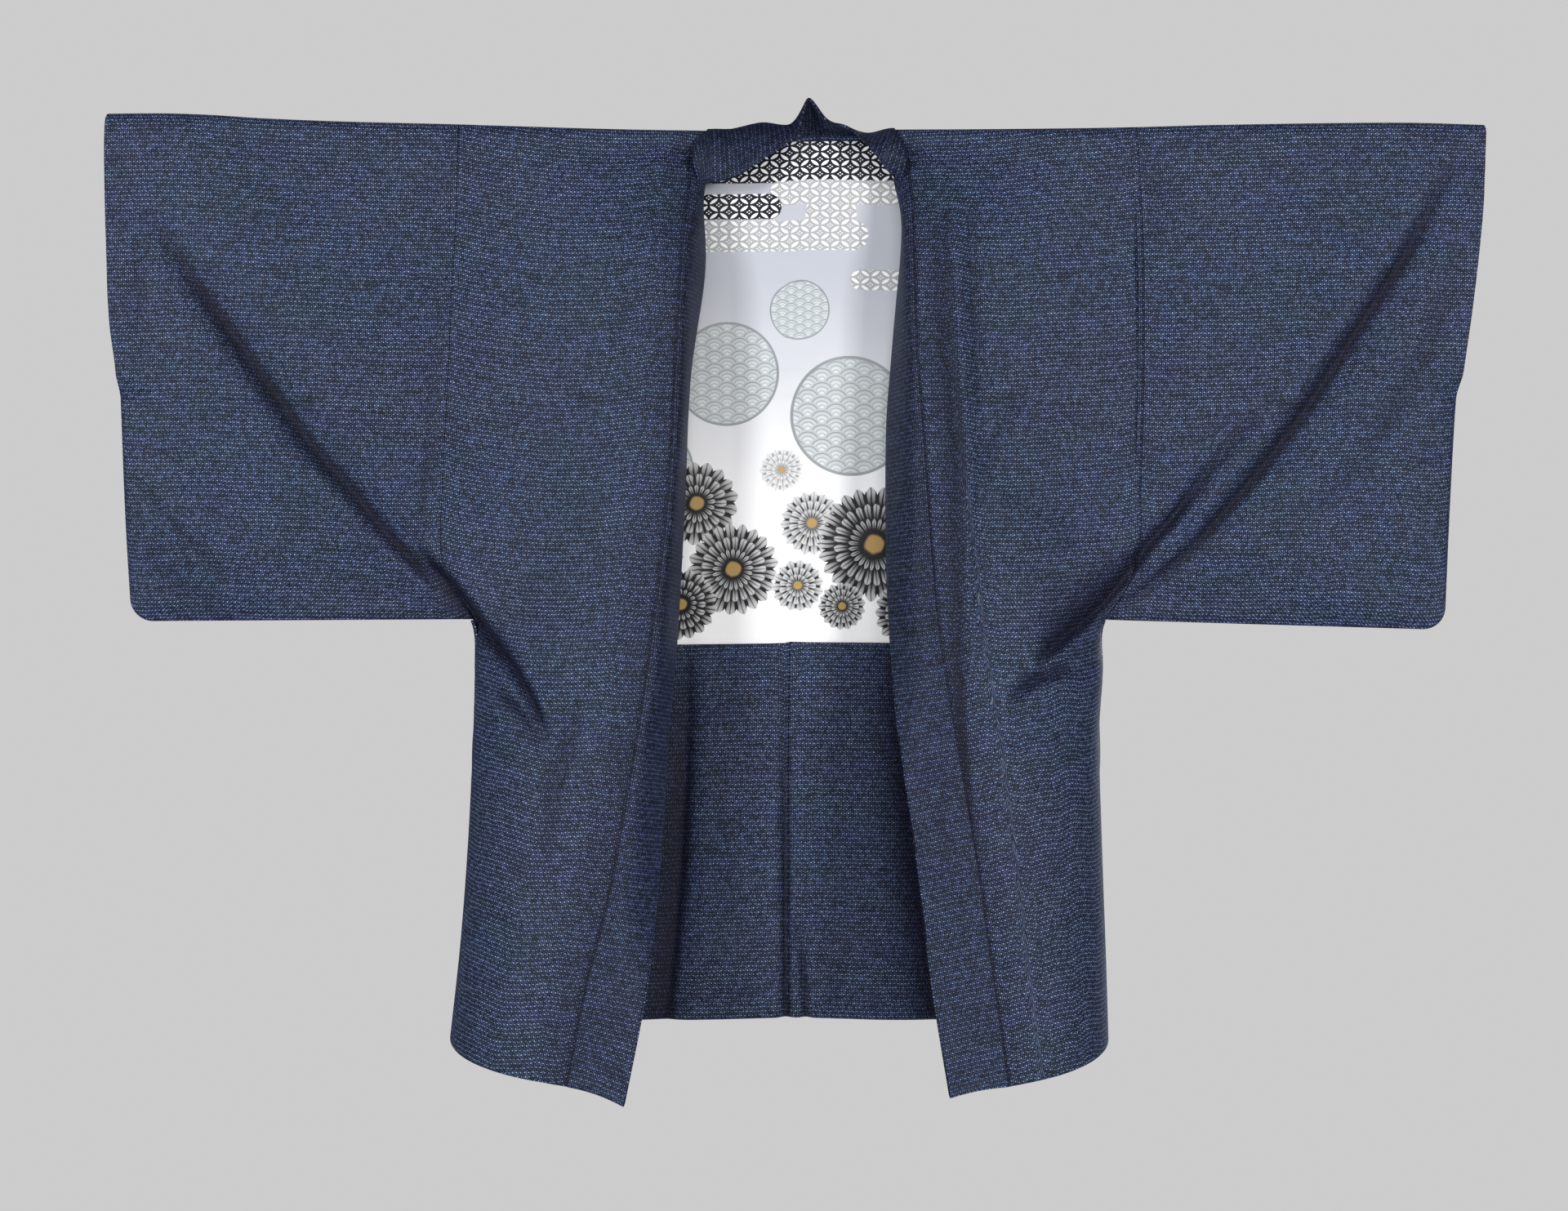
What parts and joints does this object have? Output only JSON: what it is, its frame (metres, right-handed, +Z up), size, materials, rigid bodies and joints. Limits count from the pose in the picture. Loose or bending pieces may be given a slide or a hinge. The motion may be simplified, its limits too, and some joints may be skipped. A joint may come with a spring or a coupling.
{
  "type": "haori",
  "caption": "Hip-length haori jacket in dark navy figured weave with a pale patterned back lining, open in front, hanging by its shoulder line.",
  "frame": {"origin": "middle of the shoulder line, where the garment is held up, half way through the fold's depth", "axes": "+Z up, the open front faces -Y, the wearer's left sleeve lies on +X"},
  "size_m": [1.3542, 0.1859, 0.9475],
  "materials": {
    "navy_weave": "matt silk, small staggered dot figure",
    "lining_silk": "smooth silk with a soft sheen, figured"
  },
  "bodies": {
    "root": {"front_right": "navy_weave", "front_left": "navy_weave", "back_right": "navy_weave", "back_left": "navy_weave", "gusset_right": "navy_weave", "gusset_left": "navy_weave", "sleeve_front_right": "navy_weave", "sleeve_back_right": "navy_weave", "sleeve_front_left": "navy_weave", "sleeve_back_left": "navy_weave", "collar_right": "navy_weave", "collar_neck": "navy_weave", "collar_left": "navy_weave", "facing_right": "navy_weave", "facing_left": "navy_weave", "lining_back": "lining_silk"}
  },
  "joints": []
}
